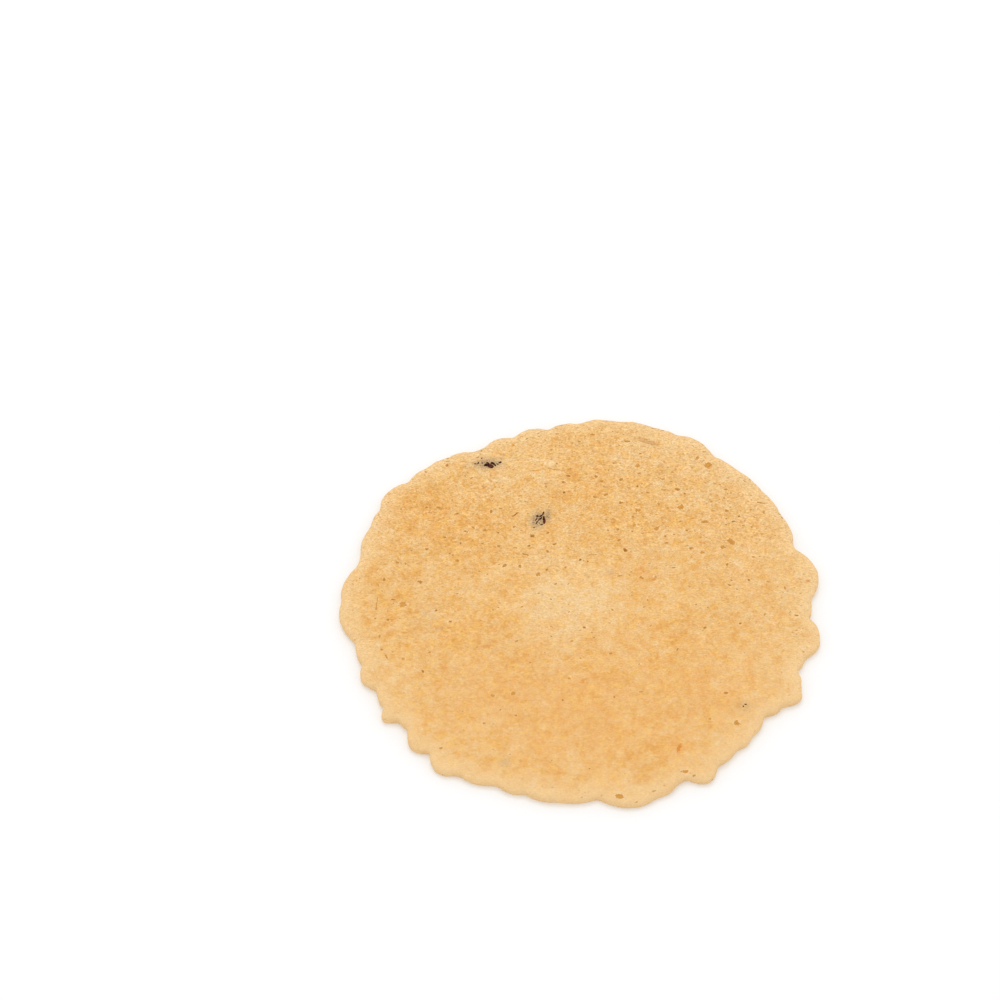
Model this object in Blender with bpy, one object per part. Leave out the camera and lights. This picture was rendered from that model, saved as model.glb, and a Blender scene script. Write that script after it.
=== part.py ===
"""A thin, crisp oat cookie: one flat disc of baked dough with a lobed, broken-looking edge.

Metres, +Z up. The flat underside rests at z = 0 and the cookie is centred over the origin.
The dough is lofted ring by ring, from the middle of the underside, round the edge, to the
middle of the top. Burst bubbles are then cut into the top, and the dark seeds baked into it
are fused on.
"""
import math

import bmesh
import bpy
import numpy as np
from mathutils import Matrix

MM = 0.001

# Body of the dough.
BODY_RADIUS = 38.45 * MM
THICKNESS = 2.3 * MM

# Lobes round the edge, anticlockwise from above: bearing of the crest (+X is 0 degrees),
# reach beyond the body in millimetres, and half-width in degrees where a lobe has fallen
# by LOBE_FALL.
LOBE_FALL = 2.0 * MM
LOBE_BLEND = 0.20 * MM
LOBES = (
    (-178.0, 2.80, 8.5), (-165.0, 0.90, 9.0), (-157.5, 1.85, 4.5), (-148.5, 1.10, 7.0),
    (-144.9, 2.50, 2.5), (-140.3, 0.55, 6.0), (-133.7, 2.60, 4.2), (-124.9, 3.45, 4.7),
    (-117.8, 2.25, 8.8), (-107.2, 1.75, 6.4), (-98.7, 2.05, 8.4), (-92.8, 2.00, 9.6),
    (-77.1, 3.75, 7.8), (-70.5, 2.90, 5.3), (-64.7, 1.40, 4.6), (-59.3, 3.65, 3.9),
    (-53.2, 1.85, 8.7), (-45.8, 1.65, 4.6), (-41.2, 1.20, 6.0), (-31.9, 1.65, 4.7),
    (-27.2, 3.60, 3.7), (-23.4, 2.40, 3.4), (-16.9, 1.40, 6.0), (-10.4, 3.30, 5.2),
    (-7.7, 3.00, 3.8), (0.0, 1.45, 8.5), (10.0, 3.40, 7.5), (19.0, 0.95, 7.5),
    (26.5, 2.20, 8.5), (34.5, 2.70, 8.5), (42.5, 2.80, 10.0), (50.0, 2.60, 8.5),
    (60.3, 3.85, 7.0), (67.5, 3.45, 9.0), (74.5, 3.60, 9.5), (82.5, 3.10, 9.0),
    (92.0, 2.00, 6.5), (101.8, 1.50, 5.8), (110.8, 1.05, 5.4), (123.0, 1.35, 5.3),
    (128.5, 1.95, 7.0), (134.5, 2.10, 7.5), (143.4, 3.25, 6.5), (150.7, 2.25, 5.6),
    (157.5, 1.85, 8.5), (166.0, 0.70, 7.0), (175.5, 2.65, 8.0),
)
LOBE_FADE = 5.0 * MM
TIP_THINNING = 0.06

# Section of the edge, from the flat underside round to the top: points in the ring,
# distance in from the edge and height above the underside, both in millimetres.
EDGE_POINTS = 288
SECTION = (
    (EDGE_POINTS // 2, 7.0, 0.0),
    (EDGE_POINTS, 2.6, 0.04),
    (EDGE_POINTS, 0.8, 0.16),
    (EDGE_POINTS, 0.18, 0.48),
    (EDGE_POINTS, 0.0, 1.05),
    (EDGE_POINTS, 0.2, 1.6),
    (EDGE_POINTS, 0.75, 1.97),
    (EDGE_POINTS, 1.75, 2.19),
)

# Rings across each face: points in the ring, and the radii of the first and last ring of the
# zone in millimetres with the number of rings between them.
UNDERSIDE_ZONES = ((36, 9.0, 9.0, 1), (72, 19.0, 19.0, 1))
TOP_ZONES = ((144, 35.2, 19.0, 9), (72, 17.0, 10.0, 4), (36, 8.0, 5.2, 2), (18, 3.0, 3.0, 1))

# Low swells of the top: length and height of each wave, the way it runs and where it starts.
SWELLS = (
    (47.0 * MM, 0.050 * MM, 20.0, 0.4),
    (29.0 * MM, 0.035 * MM, 110.0, 2.1),
    (21.0 * MM, 0.030 * MM, 65.0, 3.9),
    (16.0 * MM, 0.020 * MM, 150.0, 5.2),
)

# Burst bubbles in the top, in millimetres: where, half-length, half-width and depth, and the
# way each points in degrees.
PITS = (
    (22.8, 30.0, 1.0, 0.75, 0.40, 10.0),
    (21.3, 31.8, 0.7, 0.5, 0.25, 60.0),
    (26.2, 13.4, 0.8, 0.7, 0.45, 0.0),
    (25.0, 12.3, 0.8, 0.6, 0.30, 30.0),
    (17.4, 24.9, 0.6, 0.55, 0.35, 0.0),
    (13.6, 16.1, 0.65, 0.7, 0.35, 80.0),
    (8.1, 11.5, 0.55, 0.55, 0.35, 0.0),
    (10.5, 30.0, 0.5, 0.5, 0.30, 0.0),
    (-8.1, 14.5, 0.65, 0.6, 0.35, 0.0),
    (-30.5, -0.4, 0.95, 0.55, 0.35, 0.0),
    (16.4, -30.3, 0.5, 1.0, 0.30, -15.0),
    (25.9, -25.2, 0.9, 0.6, 0.35, 20.0),
    (17.3, -35.0, 0.7, 0.45, 0.25, 5.0),
    (6.3, -40.1, 0.9, 0.5, 0.35, -10.0),
)

# Dark seeds: where, half-length, half-width and half-height in millimetres, how far the
# middle stands above the floor of its hollow, and the way each points in degrees.
SEEDS = (
    (-15.4, 30.4, 1.05, 0.62, 0.40, 0.10, 8.0),
    (-13.6, 30.9, 0.50, 0.34, 0.28, 0.12, -30.0),
    (-17.7, 30.6, 0.42, 0.30, 0.26, 0.12, 20.0),
    (-6.2, 18.7, 0.55, 1.20, 0.38, 0.10, -12.0),
    (-7.6, 16.6, 0.34, 0.40, 0.26, 0.12, 0.0),
    (27.7, -21.5, 0.42, 0.55, 0.28, 0.08, -35.0),
)
HOLLOW_SPREAD = 1.35
HOLLOW_DEPTH = 0.35 * MM
MARK_SUBDIVISIONS = 2

# Baked dough and seeds.
DOUGH_COLOR = (0.855, 0.509, 0.198, 1.0)
DOUGH_ROUGHNESS = 0.72
SEED_COLOR = (0.030, 0.022, 0.024, 1.0)
SEED_ROUGHNESS = 0.55
SHARP_ANGLE = 50.0


def clear_scene():
    """Remove every object the file opens with."""
    for obj in list(bpy.data.objects):
        bpy.data.objects.remove(obj, do_unlink=True)


def principled_material(name, color, roughness):
    """A plain Principled BSDF of one colour and roughness, not metallic."""
    material = bpy.data.materials.new(name)
    material.use_nodes = True
    shader = material.node_tree.nodes["Principled BSDF"]
    shader.inputs["Base Color"].default_value = color
    shader.inputs["Roughness"].default_value = roughness
    shader.inputs["Metallic"].default_value = 0.0
    material.diffuse_color = color
    return material


def edge_reach(bearing):
    """Reach of the edge beyond the round body, for an array of bearings in radians.

    Each lobe is a parabola over its bearing. The highest lobe there wins, softly blended
    with its neighbours and with the body.
    """
    crest, reach, width = np.array(LOBES).T
    away = (np.degrees(bearing)[:, None] - crest + 180.0) % 360.0 - 180.0
    height = reach * MM - LOBE_FALL * (away / width) ** 2
    height = np.column_stack([height, np.zeros(len(bearing))])
    return LOBE_BLEND * np.log(np.exp(height / LOBE_BLEND).sum(axis=1))


def swell(x, y):
    """Height of the low waves over the top, at arrays x and y."""
    height = np.zeros_like(x)
    for length, size, heading, start in SWELLS:
        along = x * math.cos(math.radians(heading)) + y * math.sin(math.radians(heading))
        height = height + size * np.sin(math.tau * along / length + start)
    return height


def ring_points(count, inset, height):
    """Points of one ring, the inset and height given in metres.

    The ring follows the edge, moved in by the inset, and its lobes fade out towards the
    middle. A height is stretched by the swell of the top, and shrinks towards a lobe's tip,
    so the lobes are thinner than the body.
    """
    bearing = np.arange(count) * math.tau / count
    reach = edge_reach(bearing)
    radius = BODY_RADIUS - inset + reach * math.exp(-((inset / LOBE_FADE) ** 2))
    x = radius * np.cos(bearing)
    y = radius * np.sin(bearing)
    thinned = 1.0 - TIP_THINNING * reach * math.exp(-inset / LOBE_FADE) / LOBE_FALL
    z = height * thinned * (1.0 + swell(x, y) / THICKNESS)
    return np.column_stack([x, y, z])


def zone_rings(zones, height):
    """Rings of a face from a list of zones, each at one height."""
    rings = []
    for count, first, last, number in zones:
        for radius in np.linspace(first, last, number):
            rings.append(ring_points(count, BODY_RADIUS - radius * MM, height))
    return rings


def skin(bm, first, second):
    """Faces between two rings of vertices, of equal count or one with twice the other's."""
    small = min(len(first), len(second))
    for i in range(small):
        j = (i + 1) % small
        if len(first) == len(second):
            bm.faces.new((first[i], first[j], second[j], second[i]))
        elif len(first) < len(second):
            bm.faces.new((first[i], first[j], second[2 * i + 1]))
            bm.faces.new((first[j], second[2 * j], second[2 * i + 1]))
            bm.faces.new((first[i], second[2 * i + 1], second[2 * i]))
        else:
            bm.faces.new((first[2 * i], first[2 * i + 1], second[i]))
            bm.faces.new((first[2 * i + 1], second[j], second[i]))
            bm.faces.new((first[2 * i + 1], first[2 * j], second[j]))


def close_middle(bm, ring, height, outward):
    """A fan from a ring to a point on the axis; outward is True where the loft starts."""
    middle = bm.verts.new((0.0, 0.0, height))
    for i, vertex in enumerate(ring):
        following = ring[(i + 1) % len(ring)]
        corners = (middle, following, vertex) if outward else (vertex, following, middle)
        bm.faces.new(corners)


def dough_mesh():
    """The dough: rings skinned from the underside's middle to the top's middle."""
    rings = zone_rings(UNDERSIDE_ZONES, 0.0)
    for count, inset, height in SECTION:
        rings.append(ring_points(count, inset * MM, height * MM))
    rings.extend(zone_rings(TOP_ZONES, THICKNESS))
    bm = bmesh.new()
    loops = [[bm.verts.new(point) for point in ring] for ring in rings]
    close_middle(bm, loops[0], 0.0, True)
    for first, second in zip(loops, loops[1:]):
        skin(bm, first, second)
    top_middle = THICKNESS + float(swell(np.zeros(1), np.zeros(1))[0])
    close_middle(bm, loops[-1], top_middle, False)
    mesh = bpy.data.meshes.new("cookie")
    bm.to_mesh(mesh)
    bm.free()
    return mesh


def top_height(x, y):
    """Height of the dough's top at one place, level with the swells."""
    return THICKNESS + float(swell(np.array([x]), np.array([y]))[0])


def mark_object(name, place, half_sizes, turn, material, collection):
    """A small ellipsoid, turned about +Z, as a cutter or a seed."""
    bm = bmesh.new()
    bmesh.ops.create_icosphere(bm, subdivisions=MARK_SUBDIVISIONS, radius=1.0)
    scale = Matrix.Diagonal((*half_sizes, 1.0))
    bm.transform(Matrix.Translation(place) @ Matrix.Rotation(math.radians(turn), 4, "Z") @ scale)
    mesh = bpy.data.meshes.new(name)
    bm.to_mesh(mesh)
    bm.free()
    mesh.materials.append(material)
    obj = bpy.data.objects.new(name, mesh)
    obj.hide_render = True
    obj.display_type = "WIRE"
    collection.objects.link(obj)
    return obj


def pit_cutters(material):
    """One cutter for each burst bubble, and one for the hollow round each seed."""
    collection = bpy.data.collections.new("pit_cutters")
    bpy.context.scene.collection.children.link(collection)
    for i, (x, y, length, width, depth, turn) in enumerate(PITS):
        place = (x * MM, y * MM, top_height(x * MM, y * MM))
        sizes = (length * MM, width * MM, depth * MM)
        mark_object(f"pit_cutter_{i:02d}", place, sizes, turn, material, collection)
    for i, (x, y, length, width, _, _, turn) in enumerate(SEEDS):
        place = (x * MM, y * MM, top_height(x * MM, y * MM))
        sizes = (length * HOLLOW_SPREAD * MM, width * HOLLOW_SPREAD * MM, HOLLOW_DEPTH)
        mark_object(f"hollow_cutter_{i:02d}", place, sizes, turn, material, collection)
    return collection


def seed_shapes(material):
    """The seeds, each sunk into the floor of its hollow."""
    collection = bpy.data.collections.new("seed_shapes")
    bpy.context.scene.collection.children.link(collection)
    for i, (x, y, length, width, height, rise, turn) in enumerate(SEEDS):
        floor = top_height(x * MM, y * MM) - HOLLOW_DEPTH
        place = (x * MM, y * MM, floor + rise * MM)
        sizes = (length * MM, width * MM, height * MM)
        mark_object(f"seed_shape_{i:02d}", place, sizes, turn, material, collection)
    return collection


def apply_boolean(obj, collection, operation):
    """Cut or join every shape of a collection at once, then remove those shapes."""
    modifier = obj.modifiers.new(operation.lower(), "BOOLEAN")
    modifier.operation = operation
    modifier.operand_type = "COLLECTION"
    modifier.collection = collection
    modifier.solver = "EXACT"
    modifier.material_mode = "TRANSFER"
    evaluated = obj.evaluated_get(bpy.context.evaluated_depsgraph_get())
    joined = bpy.data.meshes.new_from_object(evaluated)
    obj.modifiers.clear()
    obj.data = joined
    for shape in list(collection.objects):
        bpy.data.objects.remove(shape, do_unlink=True)
    bpy.data.collections.remove(collection)


def centre_over_origin(mesh):
    """Shift the mesh so that its box is centred over the origin and stands on z = 0."""
    corners = np.empty(len(mesh.vertices) * 3)
    mesh.vertices.foreach_get("co", corners)
    corners = corners.reshape(-1, 3)
    low = corners.min(axis=0)
    high = corners.max(axis=0)
    mesh.transform(Matrix.Translation((-(low[0] + high[0]) / 2, -(low[1] + high[1]) / 2, -low[2])))


def make_cookie():
    """The whole cookie as one solid: dough, burst bubbles and seeds."""
    dough = principled_material("baked_dough", DOUGH_COLOR, DOUGH_ROUGHNESS)
    seed = principled_material("dark_seed", SEED_COLOR, SEED_ROUGHNESS)
    mesh = dough_mesh()
    mesh.materials.append(dough)
    cookie = bpy.data.objects.new("cookie", mesh)
    bpy.context.scene.collection.objects.link(cookie)
    apply_boolean(cookie, pit_cutters(dough), "DIFFERENCE")
    apply_boolean(cookie, seed_shapes(seed), "UNION")
    centre_over_origin(cookie.data)
    cookie.data.shade_smooth()
    cookie.data.set_sharp_from_angle(angle=math.radians(SHARP_ANGLE))
    return cookie


clear_scene()
make_cookie()
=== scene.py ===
"""One thin, crisp oat cookie, lying flat in a plain pale studio.

Metres, +Z up: the underside rests at z = 0 and the plan is centred over the origin, as in the
frame. The file follows the cookie as it is made: first the dough, pressed and baked, then the
dark seeds caught in it, and last the floor, the light and the camera.
"""

import math
from itertools import product

import bpy
import numpy as np
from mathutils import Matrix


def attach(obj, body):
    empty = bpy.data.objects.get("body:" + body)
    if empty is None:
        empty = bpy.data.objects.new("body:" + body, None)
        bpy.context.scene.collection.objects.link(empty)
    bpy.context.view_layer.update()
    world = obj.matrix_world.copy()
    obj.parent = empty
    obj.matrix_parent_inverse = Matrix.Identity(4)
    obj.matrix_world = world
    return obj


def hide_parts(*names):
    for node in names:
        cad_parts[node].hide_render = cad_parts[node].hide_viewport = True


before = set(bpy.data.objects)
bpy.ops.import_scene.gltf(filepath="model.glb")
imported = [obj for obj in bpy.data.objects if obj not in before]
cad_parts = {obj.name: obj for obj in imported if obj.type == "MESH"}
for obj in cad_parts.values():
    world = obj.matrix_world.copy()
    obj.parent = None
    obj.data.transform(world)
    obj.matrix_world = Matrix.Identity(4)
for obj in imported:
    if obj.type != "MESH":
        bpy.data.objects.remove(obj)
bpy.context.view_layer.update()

# ----------------------------------------------------------------------------------------------
# The dough: a thin oat batter, pressed between hot plates and baked crisp in a few minutes. It
# is one brittle sheet with burst steam bubbles in both faces. Its edge is lobed where the
# batter ran out, and the lobes stay paler than the body.
# ----------------------------------------------------------------------------------------------
MM = 0.001

# Body and lobes: how far in the lobes fade out, the share of the thickness that they lose for
# each metre that they reach out, and the level of the edge's widest line.
THICKNESS = 2.3 * MM
BODY_RADIUS = 38.45 * MM
LOBE_FADE = 5.0 * MM
TIP_THINNING = 0.03 / MM
RIM_LEVEL = 1.05 * MM

# The edge seen from above, which comes from the frame: how near the widest line a corner lies
# to count, and the samples and waves that the line is kept in.
RIM_BAND = 0.25 * MM
EDGE_SAMPLES = 4096
EDGE_WAVES = 144

# Section of the rim: how far in from the edge the top starts to round over and the underside
# lies flat, how square each rounding is (2 would be an ellipse), and samples along it.
SHOULDER = 3.0 * MM
FOOT = 0.9 * MM
SHOULDER_ROUNDNESS = 2.4
FOOT_ROUNDNESS = 2.8
PROFILE_SAMPLES = 2000

# The net: cells across the top and the underside, rows round the rim, and where the top's net
# ends and the rim's rows begin.
TOP_CELLS = 252
UNDERSIDE_CELLS = TOP_CELLS // 2
RIM_ROWS = 17
NET_INSET = 0.9 * MM

# Low swells of the top: length and height of each wave, the way it runs and where it starts.
SWELLS = (
    (47.0 * MM, 0.050 * MM, 20.0, 0.4),
    (29.0 * MM, 0.035 * MM, 110.0, 2.1),
    (21.0 * MM, 0.030 * MM, 65.0, 3.9),
    (16.0 * MM, 0.020 * MM, 150.0, 5.2),
)

# Size and height of each layer of unevenness, on both faces and more on the broken rim; how
# far in the rim's reaches, the underside's share, and the first layer of noise of each.
FACE_RELIEF = (
    (7.0 * MM, 0.050 * MM), (3.4 * MM, 0.040 * MM), (1.7 * MM, 0.028 * MM), (0.85 * MM, 0.018 * MM),
)
RIM_RELIEF = ((2.4 * MM, 0.10 * MM), (1.1 * MM, 0.07 * MM), (0.6 * MM, 0.04 * MM))
RIM_RELIEF_REACH = 1.3 * MM
UNDERSIDE_RELIEF = 0.7
FACE_LAYER = 0
RIM_LAYER = 8


def corners_of(mesh):
    """Places of a mesh's corners, one row for each."""
    corners = np.empty(len(mesh.vertices) * 3)
    mesh.vertices.foreach_get("co", corners)
    return corners.reshape(-1, 3)


def edge_line(node):
    """Evenly spaced bearings round the edge, and the edge's distance from the middle at each.

    The solid's corners at the level of its widest line are joined by straight lines in order
    of bearing. Their facets are smoothed away by keeping only the first waves of the Fourier
    series of that line.
    """
    corners = corners_of(node.data)
    widest = corners[np.abs(corners[:, 2] - RIM_LEVEL) < RIM_BAND]
    bearing, kept = np.unique(np.arctan2(widest[:, 1], widest[:, 0]), return_index=True)
    radius = np.hypot(widest[kept, 0], widest[kept, 1])
    even = np.arange(EDGE_SAMPLES) * math.tau / EDGE_SAMPLES
    waves = np.fft.rfft(np.interp(even, bearing, radius, period=math.tau))
    waves[EDGE_WAVES:] = 0.0
    return even, np.fft.irfft(waves, EDGE_SAMPLES)


EDGE_BEARINGS, EDGE_RADII = edge_line(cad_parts["cookie"])


def edge_reach(bearing):
    """Reach of the edge beyond the round body, at an array of bearings."""
    return np.interp(bearing, EDGE_BEARINGS, EDGE_RADII, period=math.tau) - BODY_RADIUS


def square_on_disc(cells):
    """A square net laid on a disc, so that no pole is needed.

    Each square ring of the net becomes a circle, and each of its four sides a quarter of that
    circle. Returns how far out each corner lies, from 0 to 1, and its bearing.
    """
    side = np.linspace(-1.0, 1.0, cells + 1)
    across, up = np.meshgrid(side, side, indexing="ij")
    out = np.maximum(np.abs(across), np.abs(up))
    sideways = np.abs(across) >= np.abs(up)
    main = np.where(sideways, across, up)
    other = np.where(sideways, up, across)
    slant = other / np.where(main == 0.0, 1.0, main) * math.pi / 4
    bearing = np.where(sideways, slant, math.pi / 2 - slant) + math.pi * (main < 0.0)
    return out.ravel(), bearing.ravel()


def net_faces(cells, start):
    """Four-sided faces of a square net whose first corner has the number start."""
    number = np.arange((cells + 1) ** 2).reshape(cells + 1, cells + 1) + start
    corners = (number[:-1, :-1], number[1:, :-1], number[1:, 1:], number[:-1, 1:])
    return np.stack(corners, axis=-1).reshape(-1, 4)


def net_border(cells, start):
    """Numbers of the corners round a square net, anticlockwise from its first corner."""
    number = np.arange((cells + 1) ** 2).reshape(cells + 1, cells + 1) + start
    sides = (number[:-1, 0], number[-1, :-1], number[:0:-1, -1], number[0, :0:-1])
    return np.concatenate(sides)


def rim_profile():
    """Inset from the edge and height of each row of the rim, in even steps.

    Two quarters of a superellipse meet at the widest line. The upper one rounds the shoulder
    of the top, and the lower one turns under to the foot.
    """
    turn = np.linspace(0.0, math.pi, PROFILE_SAMPLES)
    upper = turn < math.pi / 2
    roundness = np.where(upper, SHOULDER_ROUNDNESS, FOOT_ROUNDNESS)
    out = np.clip(np.sin(turn), 0.0, 1.0) ** (2 / roundness)
    rise = np.abs(np.cos(turn)) ** (2 / roundness)
    inset = np.where(upper, SHOULDER, FOOT) * (1.0 - out)
    height = RIM_LEVEL + np.where(upper, THICKNESS - RIM_LEVEL, -RIM_LEVEL) * rise
    walked = ~upper | (inset < NET_INSET)
    inset = inset[walked]
    height = height[walked]
    length = np.concatenate([[0.0], np.cumsum(np.hypot(np.diff(inset), np.diff(height)))])
    steps = np.linspace(0.0, length[-1], RIM_ROWS + 2)[1:-1]
    return np.interp(steps, length, inset), np.interp(steps, length, height)


def shoulder_height(inset):
    """Height of the flat top and of its rounded shoulder, at distances in from the edge."""
    out = np.clip(1.0 - inset / SHOULDER, 0.0, 1.0)
    rise = (1.0 - out**SHOULDER_ROUNDNESS) ** (1 / SHOULDER_ROUNDNESS)
    return RIM_LEVEL + (THICKNESS - RIM_LEVEL) * rise


def swell(x, y):
    """Height of the low waves over the top: a sum of sines, each along its own heading."""
    height = np.zeros_like(x)
    for length, size, heading, start in SWELLS:
        along = x * math.cos(math.radians(heading)) + y * math.sin(math.radians(heading))
        height = height + size * np.sin(math.tau * along / length + start)
    return height


# Random numbers on a lattice, for smooth noise: the seed, lattice points each way, and how far
# each layer of noise starts from the one before, in lattice points.
LATTICE_SEED = 7
LATTICE_SHAPE = (256, 256, 32)
LATTICE = np.random.default_rng(LATTICE_SEED).uniform(-1.0, 1.0, LATTICE_SHAPE)
LATTICE_SHIFT = (17.31, 41.73, 5.57)


def smooth_noise(points, size, layer):
    """Smooth noise between -1 and 1 at an array of points.

    Space is cut into cubes of the given size with a random number at each corner. Inside a
    cube the eight numbers are blended by the smoothstep of the place in it. Each layer starts
    at another place in the lattice.
    """
    place = points / size + np.array(LATTICE_SHIFT) * (layer + 1)
    cell = np.floor(place).astype(int)
    share = place - cell
    share = share * share * (3.0 - 2.0 * share)
    total = np.zeros(len(points))
    for corner in product((0, 1), repeat=3):
        number = (cell + corner) % LATTICE_SHAPE
        weight = np.prod(np.where(corner, share, 1.0 - share), axis=1)
        total += weight * LATTICE[number[:, 0], number[:, 1], number[:, 2]]
    return total


def layered_noise(points, layers, first):
    """Sum of smooth noise over layers of size and height, numbered from first."""
    total = np.zeros(len(points))
    for i, (size, height) in enumerate(layers):
        total += height * smooth_noise(points, size, first + i)
    return total


def facing_out(inset, height, bearing):
    """Direction in which the plain surface faces, at arrays of places on it.

    It is the slope of the rim's superellipse. Its part going up is the share of the rise from
    the widest line, and its part going out the share of the way to the edge, each to the power
    of the roundness less one.
    """
    upper = height > RIM_LEVEL
    rise = np.where(upper, (height - RIM_LEVEL) / (THICKNESS - RIM_LEVEL), height / RIM_LEVEL - 1.0)
    power = np.where(upper, SHOULDER_ROUNDNESS, FOOT_ROUNDNESS) - 1.0
    up = np.sign(rise) * np.abs(rise) ** power
    out = np.clip(1.0 - inset / np.where(upper, SHOULDER, FOOT), 0.0, 1.0) ** power
    facing = np.column_stack([out * np.cos(bearing), out * np.sin(bearing), up])
    return facing / np.hypot(up, out)[:, None]


def dough_net():
    """The plain form of the dough before its relief, as one dictionary of arrays.

    The top is a square net on a disc down to NET_INSET, then come the rows of the rim, and the
    underside is a net with half as many cells. A point at a given inset lies at the body's
    radius less the inset, plus the edge's reach, which fades out towards the middle with the
    square of the inset.
    """
    top_out, top_bearing = square_on_disc(TOP_CELLS)
    top_inset = NET_INSET + (1.0 - top_out) * (BODY_RADIUS - NET_INSET)
    top_border = net_border(TOP_CELLS, 0)
    rim_inset, rim_height = rim_profile()
    rim_bearing = np.tile(top_bearing[top_border], RIM_ROWS)
    low_out, low_bearing = square_on_disc(UNDERSIDE_CELLS)
    low_inset = FOOT + (1.0 - low_out) * (BODY_RADIUS - FOOT)
    count = len(top_border)
    inset = np.concatenate([top_inset, np.repeat(rim_inset, count), low_inset])
    bearing = np.concatenate([top_bearing, rim_bearing, low_bearing])
    height = np.concatenate([
        shoulder_height(top_inset), np.repeat(rim_height, count), np.zeros(len(low_inset)),
    ])
    reach = edge_reach(bearing)
    radius = BODY_RADIUS - inset + reach * np.exp(-((inset / LOBE_FADE) ** 2))
    x = radius * np.cos(bearing)
    y = radius * np.sin(bearing)
    thinned = 1.0 - TIP_THINNING * reach * np.exp(-inset / LOBE_FADE)
    z = height * thinned * (1.0 + swell(x, y) / THICKNESS)
    return {
        "points": np.column_stack([x, y, z]), "facing": facing_out(inset, height, bearing),
        "inset": inset, "height": height, "upper": height > RIM_LEVEL,
    }


def dough_faces():
    """Faces of the whole net: the top, the rim's rows, and the underside facing down.

    The last row of the rim has twice as many corners as the underside's border, so three
    triangles join each pair of its cells to one side of that border.
    """
    top_count = (TOP_CELLS + 1) ** 2
    border = net_border(TOP_CELLS, 0)
    count = len(border)
    rows = np.vstack([border, top_count + np.arange(RIM_ROWS * count).reshape(RIM_ROWS, count)])
    upper, lower = rows[:-1], rows[1:]
    corners = (upper, lower, np.roll(lower, -1, axis=1), np.roll(upper, -1, axis=1))
    rim = np.stack(corners, axis=-1).reshape(-1, 4)
    low_start = top_count + RIM_ROWS * count
    last = rows[-1]
    low = net_border(UNDERSIDE_CELLS, low_start)
    first, middle, end = last[0::2], last[1::2], np.roll(last, -2)[0::2]
    low_end = np.roll(low, -1)
    joins = np.vstack([
        np.column_stack([first, low, middle]),
        np.column_stack([middle, low, low_end]),
        np.column_stack([middle, low_end, end]),
    ])
    underside = net_faces(UNDERSIDE_CELLS, low_start)[:, ::-1]
    squares = np.vstack([net_faces(TOP_CELLS, 0), rim, underside])
    return squares.tolist() + joins.tolist()


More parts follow.
